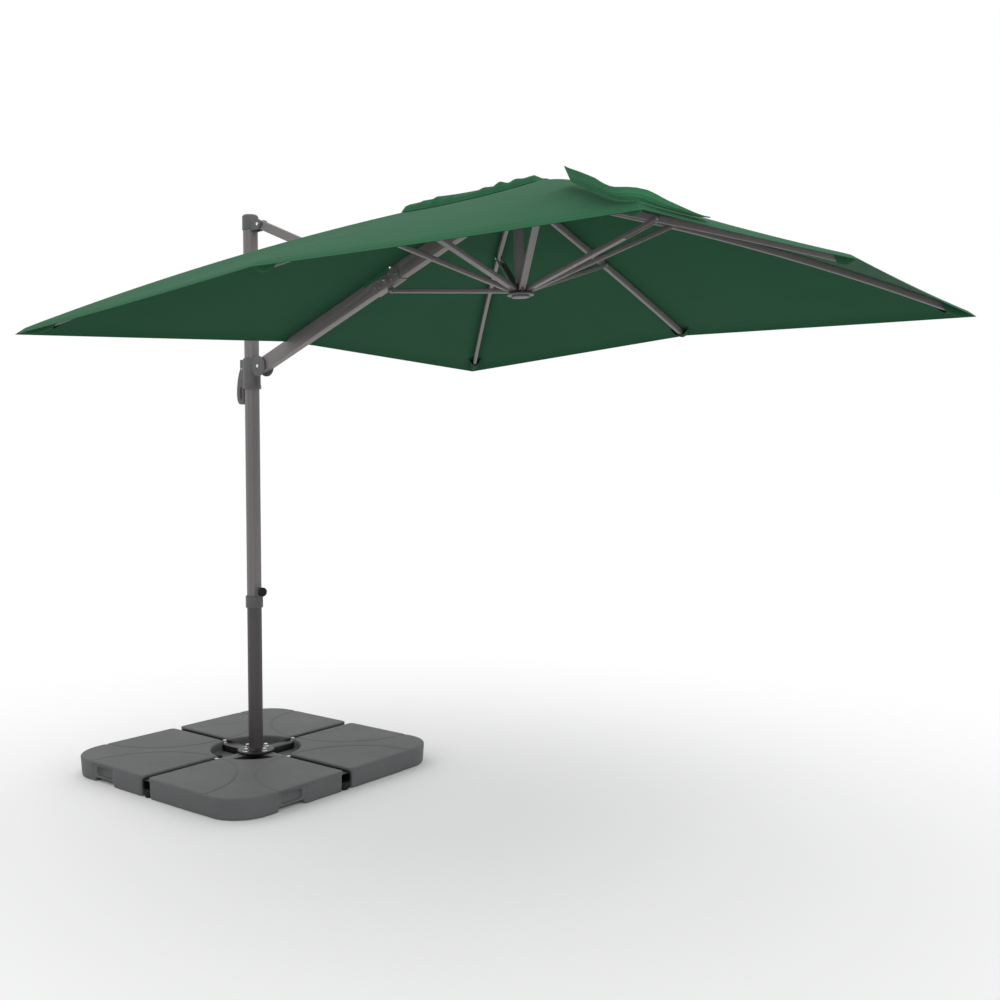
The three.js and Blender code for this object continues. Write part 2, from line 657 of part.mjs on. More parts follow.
function boomStrut() {
  const slope = boomLugSlope();
  return strutGeometry(slope, CLOSED_ANGLE + slope - (OPEN_ANGLE - CANOPY_TILT));
}

const { reach } = boomStrut();
const lugAlong = MAIN_RIB_LENGTH - Math.sqrt(reach ** 2 - STRUT_LUG_OFFSET ** 2);

base(umbrella);
lowerPole(umbrella);
upperMast(umbrella);
slider(umbrella);
upperArm(umbrella);
mainRib(umbrella, { along: lugAlong });
canopy(umbrella);

export default umbrella;
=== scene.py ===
"""Square cantilever parasol on a cross base with four fillable tanks, in metres."""
import json
import math

import bmesh
import bpy
import numpy as np
from mathutils import Matrix, Vector


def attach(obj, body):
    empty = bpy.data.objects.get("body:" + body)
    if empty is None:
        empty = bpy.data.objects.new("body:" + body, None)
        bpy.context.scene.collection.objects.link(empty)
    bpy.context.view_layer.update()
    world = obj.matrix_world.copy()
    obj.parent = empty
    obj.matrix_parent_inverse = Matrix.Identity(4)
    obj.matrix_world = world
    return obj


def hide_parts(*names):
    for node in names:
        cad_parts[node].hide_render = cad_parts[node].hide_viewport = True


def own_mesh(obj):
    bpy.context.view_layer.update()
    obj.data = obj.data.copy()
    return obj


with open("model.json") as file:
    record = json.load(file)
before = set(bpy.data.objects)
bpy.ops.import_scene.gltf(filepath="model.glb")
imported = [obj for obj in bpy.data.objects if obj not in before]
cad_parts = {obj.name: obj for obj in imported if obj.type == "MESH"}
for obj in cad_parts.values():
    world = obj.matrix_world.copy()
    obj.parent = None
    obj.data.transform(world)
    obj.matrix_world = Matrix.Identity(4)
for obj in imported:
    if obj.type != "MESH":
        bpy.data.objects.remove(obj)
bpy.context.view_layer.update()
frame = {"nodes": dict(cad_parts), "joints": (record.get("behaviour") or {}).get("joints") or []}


# ---- Studio ------------------------------------------------------------------------------
# A pale floor under soft white light from all round, with more from above the far end. The
# camera stands at head height, outside the right corner of the canopy that is far from the mast.

def srgb(red, green, blue):
    """A colour given as 0 to 255 display values, for a shader socket."""
    def linear(value):
        value /= 255
        return value / 12.92 if value <= 0.04045 else ((value + 0.055) / 1.055) ** 2.4
    return (linear(red), linear(green), linear(blue), 1)


def node(tree, kind, inputs=(), **settings):
    """Adds a node. An input is a value, or the socket that feeds it."""
    made = tree.nodes.new(kind)
    for name, value in settings.items():
        setattr(made, name, value)
    for key, value in dict(inputs).items():
        if isinstance(value, bpy.types.NodeSocket):
            tree.links.new(value, made.inputs[key])
        else:
            made.inputs[key].default_value = value
    return made


def new_material(name, **sockets):
    """A material with its Principled BSDF, whose plain values are given by socket name."""
    material = bpy.data.materials.new(name)
    material.use_nodes = True
    shader = material.node_tree.nodes["Principled BSDF"]
    for key, value in sockets.items():
        shader.inputs[key.replace("_", " ")].default_value = value
    return material, material.node_tree, shader


floor_finish, _, _ = new_material("floor_paper", Base_Color=(0.87, 0.87, 0.87, 1), Roughness=0.9)
floor_mesh = bpy.data.meshes.new("floor")
floor_mesh.from_pydata([(-30, -30, -0.001), (30, -30, -0.001), (30, 30, -0.001), (-30, 30, -0.001)],
                       [], [(0, 1, 2, 3)])
floor_mesh.materials.append(floor_finish)
floor = bpy.data.objects.new("floor", floor_mesh)
bpy.context.scene.collection.objects.link(floor)

world = bpy.data.worlds.new("white_room")
world.use_nodes = True
world.node_tree.nodes["Background"].inputs["Color"].default_value = (1, 1, 1, 1)
world.node_tree.nodes["Background"].inputs["Strength"].default_value = 1.0
bpy.context.scene.world = world
bpy.context.scene.view_settings.view_transform = "Standard"
sun = bpy.data.lights.new("overhead", "SUN")
sun.energy = 0.9
sun.angle = math.radians(70)
overhead = bpy.data.objects.new("overhead", sun)
overhead.rotation_euler = Vector((-0.75, 0.10, -0.65)).to_track_quat("-Z", "Y").to_euler()
bpy.context.scene.collection.objects.link(overhead)

lens = bpy.data.cameras.new("camera")
lens.lens = 40.55
lens.sensor_width = 36
camera = bpy.data.objects.new("camera", lens)
camera.location = (4.3223, -3.6112, 1.5894)
yaw, pitch = math.radians(127.754), math.radians(2.832)
gaze = Vector((math.cos(yaw) * math.cos(pitch), math.sin(yaw) * math.cos(pitch), -math.sin(pitch)))
camera.rotation_euler = gaze.to_track_quat("-Z", "Y").to_euler()
bpy.context.scene.collection.objects.link(camera)
bpy.context.scene.camera = camera


# ---- Tanks -------------------------------------------------------------------------------
# Four rotomoulded polyethylene tanks, one mould turned to four places. Each has a big outer
# corner, drafted sides, a hand-hold, two shallow arcs on top and a share of the round recess.

def effect(name, inputs, outputs):
    """A new shader node group, with its input and output nodes."""
    tree = bpy.data.node_groups.new(name, "ShaderNodeTree")
    for label, kind, default in inputs:
        socket = tree.interface.new_socket(label, in_out="INPUT", socket_type=kind)
        if default is not None:
            socket.default_value = default
    for label, kind in outputs:
        tree.interface.new_socket(label, in_out="OUTPUT", socket_type=kind)
    return tree, tree.nodes.new("NodeGroupInput").outputs, tree.nodes.new("NodeGroupOutput").inputs


grain, given, result = effect(
    "moulded_grain",
    [("Fine Scale", "NodeSocketFloat", 900.0), ("Cloud Scale", "NodeSocketFloat", 9.0)],
    [("Height", "NodeSocketFloat"), ("Cloud", "NodeSocketFloat")])
place = node(grain, "ShaderNodeTexCoord").outputs["Object"]
fine = node(grain, "ShaderNodeTexNoise", {"Vector": place, "Scale": given["Fine Scale"], "Detail": 2.0})
cloud = node(grain, "ShaderNodeTexNoise", {"Vector": place, "Scale": given["Cloud Scale"], "Detail": 5.0})
grain.links.new(fine.outputs["Fac"], result["Height"])
grain.links.new(cloud.outputs["Fac"], result["Cloud"])

dust, given, result = effect("dust", [("Amount", "NodeSocketFloat", 0.3)], [("Mask", "NodeSocketFloat")])
up = node(dust, "ShaderNodeSeparateXYZ", {"Vector": node(dust, "ShaderNodeNewGeometry").outputs["Normal"]})
drift = node(dust, "ShaderNodeTexNoise",
             {"Vector": node(dust, "ShaderNodeTexCoord").outputs["Object"], "Scale": 5.0, "Detail": 8.0})
patch = node(dust, "ShaderNodeMapRange", {
    "Value": drift.outputs["Fac"], "From Min": 0.35, "From Max": 0.75})
facing = node(dust, "ShaderNodeMath", {0: up.outputs["Z"], 1: patch.outputs["Result"]},
              operation="MULTIPLY", use_clamp=True)
amount = node(dust, "ShaderNodeMath", {0: facing.outputs[0], 1: given["Amount"]}, operation="MULTIPLY")
dust.links.new(amount.outputs[0], result["Mask"])


def finish_nodes(tree, shader, dark, light, dust_colour, dust_amount, scale, height, rough_low, rough_high):
    """A clouded, slightly dusty finish with a fine grain, for moulded, cast and painted faces."""
    texture = node(tree, "ShaderNodeGroup", node_tree=grain)
    texture.inputs["Fine Scale"].default_value = scale
    tint = node(tree, "ShaderNodeMixRGB", {
        "Fac": texture.outputs["Cloud"], "Color1": dark, "Color2": light})
    powder = node(tree, "ShaderNodeGroup", node_tree=dust)
    powder.inputs["Amount"].default_value = dust_amount
    colour = node(tree, "ShaderNodeMixRGB", {
        "Fac": powder.outputs["Mask"], "Color1": tint.outputs["Color"], "Color2": dust_colour})
    rough = node(tree, "ShaderNodeMapRange", {
        "Value": texture.outputs["Cloud"], "To Min": rough_low, "To Max": rough_high})
    bump = node(tree, "ShaderNodeBump", {"Height": texture.outputs["Height"], "Distance": height,
                                         "Strength": 0.6})
    tree.links.new(colour.outputs["Color"], shader.inputs["Base Color"])
    tree.links.new(rough.outputs["Result"], shader.inputs["Roughness"])
    tree.links.new(bump.outputs["Normal"], shader.inputs["Normal"])


def finished(obj, material, body, slot, *nodes, sharp=35):
    """Paints a finished piece, shades it, and hands it to the body that carries it."""
    obj.data.materials.clear()
    obj.data.materials.append(material)
    obj.data.shade_smooth()
    obj.data.set_sharp_from_angle(angle=math.radians(sharp))
    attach(obj, body)
    if nodes:
        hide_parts(*nodes)
    return obj


def linked(name, mesh):
    obj = bpy.data.objects.new(name, mesh)
    bpy.context.scene.collection.objects.link(obj)
    return obj


def baked(obj):
    """The object's shape with its modifiers applied, as a plain mesh."""
    graph = bpy.context.evaluated_depsgraph_get()
    mesh = bpy.data.meshes.new_from_object(obj.evaluated_get(graph))
    obj.modifiers.clear()
    obj.data = mesh
    return obj


def prism(outline, low, high, inset=0.0):
    """A closed block from a flat outline, narrower at the bottom by the inset."""
    count = len(outline)
    points = np.array(outline)
    middle = points.mean(axis=0)
    away = points - middle
    lower = points - inset * away / np.linalg.norm(away, axis=1)[:, None]
    mesh = bpy.data.meshes.new("prism")
    verts = [(x, y, low) for x, y in lower] + [(x, y, high) for x, y in points]
    faces = [tuple(range(count - 1, -1, -1)), tuple(range(count, 2 * count))]
    faces += [(i, (i + 1) % count, count + (i + 1) % count, count + i) for i in range(count)]
    mesh.from_pydata(verts, [], faces)
    return linked("prism", mesh)


def round_outline(radius, count=72, x=0.0, y=0.0):
    turns = np.linspace(0, 2 * math.pi, count, endpoint=False)
    return [(x + radius * math.cos(a), y + radius * math.sin(a)) for a in turns]


def rectangle(x0, x1, y0, y1):
    return [(x0, y0), (x1, y0), (x1, y1), (x0, y1)]


side, gap, corner, tank_top = 0.640, 0.018, 0.180, 0.096
small_corner = 0.02
arcs = [(gap + small_corner, -side + small_corner, small_corner, 180, 270, 6),
        (side - corner, -side + corner, corner, 270, 360, 30),
        (side - small_corner, -gap - small_corner, small_corner, 0, 90, 6)]
outline = [(gap, -gap)]
for x, y, radius, start, stop, steps in arcs:
    for angle in np.radians(np.linspace(start, stop, steps)):
        outline.append((x + radius * math.cos(angle), y + radius * math.sin(angle)))
mould = prism(outline, 0.0, tank_top, inset=0.007)
beam_half, beam_top, recess_floor = 0.031, 0.080, 0.048
cuts = [
    prism(rectangle(-1, 1, -beam_half, beam_half), -0.01, beam_top),
    prism(rectangle(-beam_half, beam_half, -1, 1), -0.01, beam_top),
    prism(round_outline(0.217), recess_floor, 0.2),
    prism(round_outline(0.093), -0.01, 0.2),
    prism(rectangle(0.612, 0.7, -0.390, -0.270), 0.030, 0.072),
    prism(rectangle(0.631, 0.7, -0.415, -0.245), -0.01, tank_top - 0.008),
    prism(rectangle(0.600, 0.7, -0.405, -0.255), -0.01, 0.018),
]
for cut in cuts:
    carve = mould.modifiers.new("cut", "BOOLEAN")
    carve.object = cut
    carve.operation = "DIFFERENCE"
    carve.solver = "EXACT"
    baked(mould)
    bpy.data.objects.remove(cut)
soften = mould.modifiers.new("remesh", "REMESH")
soften.mode = "VOXEL"
soften.voxel_size = 0.0052
smooth = mould.modifiers.new("smooth", "SMOOTH")
smooth.factor = 0.5
smooth.iterations = 9
baked(mould)

positions = np.empty(len(mould.data.vertices) * 3)
mould.data.vertices.foreach_get("co", positions)
positions = positions.reshape(-1, 3)
on_top = np.clip((positions[:, 2] - 0.086) / 0.008, 0, 1)
for x, y in ((side, -gap), (gap, -side)):
    away = np.hypot(positions[:, 0] - x, positions[:, 1] - y) - 0.40
    positions[:, 2] -= 0.0035 * on_top * np.exp(-((away / 0.006) ** 2))
positions[:, 2] = np.maximum(positions[:, 2], 0.0)
mould.data.vertices.foreach_set("co", positions.ravel())

tank_plastic, tree, shader = new_material("grey_polyethylene", Specular_IOR_Level=0.35)
finish_nodes(tree, shader, srgb(76, 77, 78), srgb(90, 91, 92), srgb(122, 122, 120), 0.22, 650, 0.0006,
             0.5, 0.68)
for index, name in enumerate(("front_right", "front_left", "rear_left", "rear_right")):
    mesh = mould.data.copy()
    mesh.transform(Matrix.Rotation(index * math.pi / 2, 4, "Z"))
    tank = linked(f"moulded_tank_{name}", mesh)
    finished(tank, tank_plastic, "base", "tank_plastic", f"tank_{name}", sharp=60)
bpy.data.objects.remove(mould)


# ---- Steel cross, feet and plugs ---------------------------------------------------------
# One square tube runs through and two half tubes butt against it, all painted black. Rubber
# feet carry them, and zinc-plated bolts hold the mast's flange and the ends of the gaps.

def softened(name, source, width, material, body, slot, segments=2, sharp=35):
    """A merged copy of a CAD node with rounded edges, in place of it."""
    shell = bmesh.new()
    shell.from_mesh(frame["nodes"][source].data)
    bmesh.ops.remove_doubles(shell, verts=shell.verts, dist=2e-5)
    bmesh.ops.dissolve_limit(shell, angle_limit=math.radians(0.8), verts=shell.verts, edges=shell.edges)
    hard = [e for e in shell.edges if e.is_manifold and e.calc_face_angle() > math.radians(32)]
    bmesh.ops.bevel(shell, geom=hard, offset=width, segments=segments, profile=0.5, affect="EDGES",
                    clamp_overlap=True)
    mesh = bpy.data.meshes.new(name)
    shell.to_mesh(mesh)
    shell.free()
    return finished(linked(name, mesh), material, body, slot, source, sharp=sharp)


black_paint, tree, shader = new_material("black_paint", Metallic=0.0, Specular_IOR_Level=0.5)
finish_nodes(tree, shader, srgb(18, 18, 18), srgb(27, 27, 27), srgb(70, 70, 68), 0.15, 400, 0.0004,
             0.34, 0.5)
black_rubber, tree, shader = new_material("black_rubber", Specular_IOR_Level=0.3)
finish_nodes(tree, shader, srgb(14, 14, 14), srgb(24, 24, 24), srgb(60, 60, 58), 0.2, 500, 0.0006,
             0.7, 0.85)
black_plastic, tree, shader = new_material("grey_nylon", Specular_IOR_Level=0.45)
finish_nodes(tree, shader, srgb(74, 74, 75), srgb(88, 88, 89), srgb(120, 120, 118), 0.1, 900, 0.0003,
             0.4, 0.55)
zinc, tree, shader = new_material("zinc_plate", Metallic=1.0)
finish_nodes(tree, shader, srgb(205, 207, 210), srgb(232, 233, 235), srgb(190, 190, 186), 0.1, 1200, 0.0002,
             0.2, 0.36)

softened("steel_beam", "cross_beam", 0.003, black_paint, "base", "black_steel")
for name in ("left", "right"):
    softened(f"steel_arm_{name}", f"cross_arm_{name}", 0.003, black_paint, "base", "black_steel")
for name in ("front", "left", "rear", "right"):
    softened(f"rubber_foot_{name}", f"levelling_foot_{name}", 0.003, black_rubber, "base", "rubber", 3)
softened("rubber_centre_foot", "centre_foot", 0.003, black_rubber, "base", "rubber", 3)
for name in ("front_right", "front_left", "rear_left", "rear_right"):
    softened(f"screw_plug_{name}", f"filler_plug_{name}", 0.002, black_rubber, "base", "black_plastic")


def grown(name, points, tree, values, facing=None, edges=()):
    """Runs a Geometry Nodes tree on points or lines, and returns the plain result."""
    mesh = bpy.data.meshes.new(name)
    mesh.from_pydata([tuple(p) for p in points], list(edges), [])
    if facing is not None:
        attribute = mesh.attributes.new("facing", "FLOAT_VECTOR", "POINT")
        attribute.data.foreach_set("vector", np.array(facing, float).ravel())
    obj = linked(name, mesh)
    modifier = obj.modifiers.new("grow", "NODES")
    modifier.node_group = tree
    for key, value in values.items():
        modifier[tree.interface.items_tree[key].identifier] = value
    return baked(obj)


def shape_tree(name, inputs):
    """A new Geometry Nodes tree with a geometry input, the given sizes, and a material."""
    tree = bpy.data.node_groups.new(name, "GeometryNodeTree")
    tree.interface.new_socket("Geometry", in_out="INPUT", socket_type="NodeSocketGeometry")
    for label, default in inputs:
        socket = tree.interface.new_socket(label, in_out="INPUT", socket_type="NodeSocketFloat")
        socket.default_value = default
    tree.interface.new_socket("Material", in_out="INPUT", socket_type="NodeSocketMaterial")
    tree.interface.new_socket("Result", in_out="OUTPUT", socket_type="NodeSocketGeometry")
    return tree, tree.nodes.new("NodeGroupInput").outputs, tree.nodes.new("NodeGroupOutput").inputs


def end_tree(tree, given, result, geometry):
    real = node(tree, "GeometryNodeRealizeInstances", {"Geometry": geometry})
    painted = node(tree, "GeometryNodeSetMaterial", {
        "Geometry": real.outputs[0], "Material": given["Material"]})
    tree.links.new(painted.outputs[0], result["Result"])


def head_tree(name, sides):
    """Fastener heads on washers, each on a point and standing along its facing direction."""
    tree, given, result = shape_tree(name, [("Radius", 0.008), ("Height", 0.006), ("Washer", 0.012)])
    half = node(tree, "ShaderNodeMath", {0: given["Height"], 1: 0.5}, operation="MULTIPLY")
    lift = node(tree, "ShaderNodeCombineXYZ", {"Z": half.outputs[0]})
    head = node(tree, "GeometryNodeMeshCylinder", {
        "Vertices": sides, "Radius": given["Radius"], "Depth": given["Height"]})
    head_up = node(tree, "GeometryNodeTransform", {"Geometry": head.outputs["Mesh"],
                                                   "Translation": lift.outputs[0]})
    disc = node(tree, "GeometryNodeMeshCylinder", {
        "Vertices": 24, "Radius": given["Washer"], "Depth": 0.003})
    whole = node(tree, "GeometryNodeJoinGeometry", {"Geometry": head_up.outputs[0]})
    tree.links.new(disc.outputs["Mesh"], whole.inputs["Geometry"])
    facing = node(tree, "GeometryNodeInputNamedAttribute", {"Name": "facing"}, data_type="FLOAT_VECTOR")
    turn = node(tree, "FunctionNodeAlignRotationToVector", {
        "Vector": facing.outputs["Attribute"]}, axis="Z")
    spread = node(tree, "GeometryNodeInstanceOnPoints", {
        "Points": given["Geometry"], "Instance": whole.outputs[0], "Rotation": turn.outputs[0]})
    end_tree(tree, given, result, spread.outputs[0])
    return tree


hex_heads = head_tree("hex_heads", 6)
round_heads = head_tree("round_heads", 16)
flange_top, beam_face = 0.0863, 0.078
ways = [(1, 0), (0, 1), (-1, 0), (0, -1)]
bolt_places = [(x * 0.062, y * 0.062, flange_top) for x, y in ways]
bolt_places += [(x * 0.240, y * 0.240, beam_face) for x, y in ways]
bolts = grown("zinc_bolts", bolt_places, hex_heads,
              {"Radius": 0.010, "Height": 0.013, "Washer": 0.014, "Material": zinc},
              facing=[(0, 0, 1)] * 8)
finished(bolts, zinc, "base", "zinc")


# ---- Mast --------------------------------------------------------------------------------
# Extruded aluminium with eight shallow flutes, powder-coated anthracite. The lower pole is
# welded to a flange. The upper tube turns in it, and a nylon collar with a knob clamps it.

def swept(name, outline, levels):
    """A closed tube wall from an [x, y] outline, through (height, scale) levels."""
    count = len(outline)
    verts = [(x * s, y * s, z) for z, s in levels for x, y in outline]
    faces = [(r * count + i, r * count + (i + 1) % count, (r + 1) * count + (i + 1) % count,
              (r + 1) * count + i) for r in range(len(levels) - 1) for i in range(count)]
    last = (len(levels) - 1) * count
    faces += [tuple(range(count - 1, -1, -1)), tuple(range(last, last + count))]
    mesh = bpy.data.meshes.new(name)
    mesh.from_pydata(verts, [], faces)
    return linked(name, mesh)


def fluted(radius, depth=0.0022, count=160):
    """A round outline with eight shallow grooves, two on each side of the tube."""
    groove_angle, groove_spread = 24, 5
    points = []
    for angle in np.linspace(0, 2 * math.pi, count, endpoint=False):
        folded = (math.degrees(angle) + 45) % 90 - 45
        dent = depth * math.exp(-((abs(folded) - groove_angle) / groove_spread) ** 2)
        points.append(((radius - dent) * math.cos(angle), (radius - dent) * math.sin(angle)))
    return points


powder_coat, tree, shader = new_material("anthracite_powder_coat", Metallic=0.1, Specular_IOR_Level=0.5)
finish_nodes(tree, shader, srgb(104, 99, 100), srgb(116, 111, 111), srgb(146, 143, 140), 0.08, 1500, 0.0003,
             0.42, 0.52)
dark_coat, tree, shader = new_material("dark_powder_coat", Metallic=0.35, Specular_IOR_Level=0.5)
finish_nodes(tree, shader, srgb(66, 62, 63), srgb(80, 75, 76), srgb(110, 108, 105), 0.08, 1500, 0.0003,
             0.36, 0.46)

mast_radius, collar_low, mast_top = 0.035, 0.790, 2.650
pole = swept("lower_pole_tube", fluted(mast_radius), [(0.0865, 1), (collar_low + 0.0055, 1)])
finished(pole, dark_coat, "base", "anthracite_frame", "lower_pole")
flange = swept("mast_flange", round_outline(0.088, 64), [
    (0.0783, 0.99), (0.0788, 1), (0.0858, 1), (0.0863, 0.99), (0.0864, 0.52), (0.094, 0.46), (0.098, 0.42)])
finished(flange, black_paint, "base", "black_steel")
tube = swept("upper_tube", fluted(mast_radius), [(collar_low + 0.0065, 1), (mast_top, 1)])
finished(tube, powder_coat, "mast", "anthracite_frame", "mast")
softened("mast_collar", "clamp_collar", 0.0025, black_plastic, "base", "black_plastic", 3)
softened("mast_knob", "clamp_knob", 0.003, black_rubber, "clamp_knob", "black_plastic", 3)
softened("mast_head", "mast_cap", 0.003, black_plastic, "mast", "black_plastic", 3)
softened("head_pin", "top_pin", 0.001, zinc, "mast", "zinc")


# ---- Slider ------------------------------------------------------------------------------
# A moulded sleeve with a round double boss for the boom. A looped lever on the other side
# locks it on the mast when it is squeezed and let go.

softened("slider_body", "slider_sleeve", 0.003, black_plastic, "slider", "black_plastic", 3)
softened("slider_boss_pin", "slider_pin", 0.001, zinc, "slider", "zinc")
lever_outline = [(-0.051, -0.020), (-0.053, -0.004), (-0.062, 0.004), (-0.074, -0.004), (-0.086, -0.030),
                 (-0.096, -0.066), (-0.101, -0.104), (-0.102, -0.136), (-0.098, -0.162), (-0.088, -0.177),
                 (-0.074, -0.181), (-0.058, -0.180), (-0.050, -0.172), (-0.050, -0.100), (-0.050, -0.050)]
window = [(-0.060, -0.096), (-0.070, -0.094), (-0.078, -0.108), (-0.080, -0.130), (-0.077, -0.152),
          (-0.068, -0.162), (-0.060, -0.160)]
lever, opening = prism(lever_outline, -0.011, 0.011), prism(window, -0.03, 0.03)
cut = lever.modifiers.new("window", "BOOLEAN")
cut.object = opening
cut.operation = "DIFFERENCE"
baked(lever)
bpy.data.objects.remove(opening)
edges = bmesh.new()
edges.from_mesh(lever.data)
bmesh.ops.remove_doubles(edges, verts=edges.verts, dist=1e-5)
sharp_edges = [e for e in edges.edges if e.calc_face_angle(0) > 1.0]
bmesh.ops.bevel(edges, geom=sharp_edges, offset=0.004, segments=3, profile=0.5, affect="EDGES",
                clamp_overlap=True)
edges.to_mesh(lever.data)
edges.free()
lever.data.transform(Matrix.Translation((0, 0, 1.965)) @ Matrix.Rotation(math.pi / 2, 4, "X"))
lever.name = "slider_lever"
finished(lever, black_plastic, "release_lever", "black_plastic", "release_lever")
softened("slider_lever_pin", "lever_pin", 0.0007, zinc, "slider", "zinc")


# ---- Upper arm and boom ------------------------------------------------------------------
# Two aluminium tubes. The upper arm hangs in the mast's head and forks round the boom, and a
# folded steel saddle, screwed to both sides of the boom, takes their joint.

softened("arm_tube", "upper_arm", 0.003, powder_coat, "upper_arm", "anthracite_frame", 3)
softened("arm_joint_pin", "arm_pin", 0.001, zinc, "upper_arm", "zinc")
softened("boom_tube", "main_rib", 0.005, powder_coat, "main_rib", "anthracite_frame", 3)
softened("boom_saddle", "rib_bracket", 0.0012, powder_coat, "main_rib", "black_steel")

joints = {joint["name"]: joint for joint in frame["joints"]}
boom_slope = math.atan2(0.3375, 0.830)
boom_foot = Vector((0.078, 0, 1.965))
boom_way = Vector((math.cos(boom_slope), 0, math.sin(boom_slope)))
boom_up = Vector((-math.sin(boom_slope), 0, math.cos(boom_slope)))
arm_link = math.hypot(0.830, 0.3375)
screw_places, screw_ways = [], []
for hand in (-1, 1):
    for along, rise in ((-0.066, -0.004), (-0.038, -0.017), (0.038, -0.017), (0.068, -0.004)):
        spot = boom_foot + boom_way * (arm_link + along) + boom_up * rise
        screw_places.append((spot.x, hand * 0.0233, spot.z))
        screw_ways.append((0, hand, 0))
saddle_screws = grown("saddle_screws", screw_places, round_heads,
                      {"Radius": 0.0040, "Height": 0.003, "Washer": 0.005, "Material": zinc},
                      facing=screw_ways)
finished(saddle_screws, zinc, "main_rib", "zinc")


# ---- Canopy frame ------------------------------------------------------------------------
# A nylon hub and crown at the boom's end, a short post, a runner, seven ribs and eight
# struts. The corner ribs are bowed a little by the stretched cloth.

softened("hub_body", "hub", 0.002, black_plastic, "hub", "black_plastic")
softened("crown", "crown_cap", 0.002, black_plastic, "hub", "black_plastic")
softened("post", "centre_post", 0.002, powder_coat, "hub", "anthracite_frame")

tilt = math.radians(2.56)
hinge_radius, rib_half = 0.045, 0.014
side_slope, corner_slope = math.radians(19.13), math.radians(15.42)
half_side = 1.360
boom_end = boom_foot + boom_way * 1.607
east = Vector((math.cos(tilt), 0, math.sin(tilt)))
north = Vector((0, 1, 0))
over = Vector((-math.sin(tilt), 0, math.cos(tilt)))
hub_centre = boom_end + east * hinge_radius
lines = ("front", "front_left", "left", "rear_left", "boom", "rear_right", "right", "front_right")


def in_hub(x, y, z):
    return hub_centre + east * x + north * y + over * z


def tip_radius(index):
    return half_side * (math.sqrt(2) if index % 2 else 1)


def slope_of(index):
    if index % 8 == 4:
        return boom_slope - tilt
    return corner_slope if index % 2 else side_slope


def bow(index, radius):
    """Rise of a bowed rib above its straight line."""
    share = (radius - hinge_radius) / (tip_radius(index) - hinge_radius)
    most = 0.0 if index % 8 == 4 else 0.045 if index % 2 else 0.008
    return most * 4 * share * (1 - share) / math.cos(slope_of(index))


runner_drop = 0.370
runner = bmesh.new()
for turn in range(8):
    spin = Matrix.Rotation(turn * math.pi / 4, 4, "Z")
    lug = Matrix.Translation((0.034, 0, 0)) @ Matrix.Diagonal((0.030, 0.008, 0.022, 1))
    bmesh.ops.create_cube(runner, size=1, matrix=spin @ lug)
for radius, low, high in ((0.028, -0.030, 0.020), (0.054, -0.024, -0.017), (0.036, -0.032, -0.022)):
    made = bmesh.ops.create_cone(runner, cap_ends=True, segments=48, radius1=radius, radius2=radius,
                                 depth=high - low, matrix=Matrix.Translation((0, 0, (low + high) / 2)))
place = (Matrix.Translation(hub_centre) @ Matrix.Rotation(-tilt, 4, "Y")
         @ Matrix.Translation((0, 0, -runner_drop)))
sharp_edges = [e for e in runner.edges if e.calc_face_angle() > 0.6]
bmesh.ops.bevel(runner, geom=sharp_edges, offset=0.0015, segments=2, profile=0.5, affect="EDGES")
bmesh.ops.transform(runner, matrix=place, verts=runner.verts)
runner_mesh = bpy.data.meshes.new("runner_body")
runner.to_mesh(runner_mesh)
runner.free()
finished(linked("runner_body", runner_mesh), black_plastic, "runner", "black_plastic", "runner")

bars, given, result = shape_tree("square_tube", [("Width", 0.018), ("Height", 0.028), ("Corner", 0.003)])
path = node(bars, "GeometryNodeMeshToCurve", {"Mesh": given["Geometry"]})
upright = node(bars, "GeometryNodeSetCurveNormal", {"Curve": path.outputs[0]}, mode="Z_UP")
section = node(bars, "GeometryNodeCurvePrimitiveQuadrilateral", {
    "Width": given["Width"], "Height": given["Height"]})
rounded = node(bars, "GeometryNodeFilletCurve", {
    "Curve": section.outputs[0], "Count": 3, "Radius": given["Corner"]}, mode="POLY")
wall = node(bars, "GeometryNodeCurveToMesh", {
    "Curve": upright.outputs[0], "Profile Curve": rounded.outputs[0], "Fill Caps": True})
end_tree(bars, given, result, wall.outputs[0])

for index, line in enumerate(lines):
    softened(f"strut_bar_{line}", f"strut_{line}", 0.0025, powder_coat, f"strut_{line}", "anthracite_frame")
    turn = index * math.pi / 4
    across = in_hub(-math.sin(turn), math.cos(turn), 0) - hub_centre
    pivot = Vector(joints[f"strut_hinge_{line}"]["pos_m"])
    rivet_half = 0.0128
    ends = [pivot + across * rivet_half * hand for hand in (-1, 1)]
    rivets = grown(f"rivets_{line}", ends, round_heads,
                   {"Radius": 0.0058, "Height": 0.003, "Washer": 0.0075, "Material": zinc},
                   facing=[across * hand for hand in (-1, 1)])
    finished(rivets, zinc, f"strut_{line}", "zinc")
    if line == "boom":
        continue
    path_points = []
    for radius in np.linspace(hinge_radius, tip_radius(index) - (0.075 if index % 2 else 0.045), 15):
        height = -(radius - hinge_radius) * math.tan(slope_of(index)) + bow(index, radius)
        path_points.append(in_hub(radius * math.cos(turn), radius * math.sin(turn), height))
    steps = [(i, i + 1) for i in range(len(path_points) - 1)]
    bar = grown(f"rib_bar_{line}", path_points, bars,
                {"Width": 0.018, "Height": 0.028, "Corner": 0.0035, "Material": powder_coat}, edges=steps)
    finished(bar, powder_coat, f"rib_{line}", "anthracite_frame", f"rib_{line}")


# ---- Canopy cloth ------------------------------------------------------------------------
# One square of dyed polyester, cut in eight gores, sewn over the ribs, hemmed round the edge
# and stretched. It is divided here mid-gore, so that each part can follow its own rib.

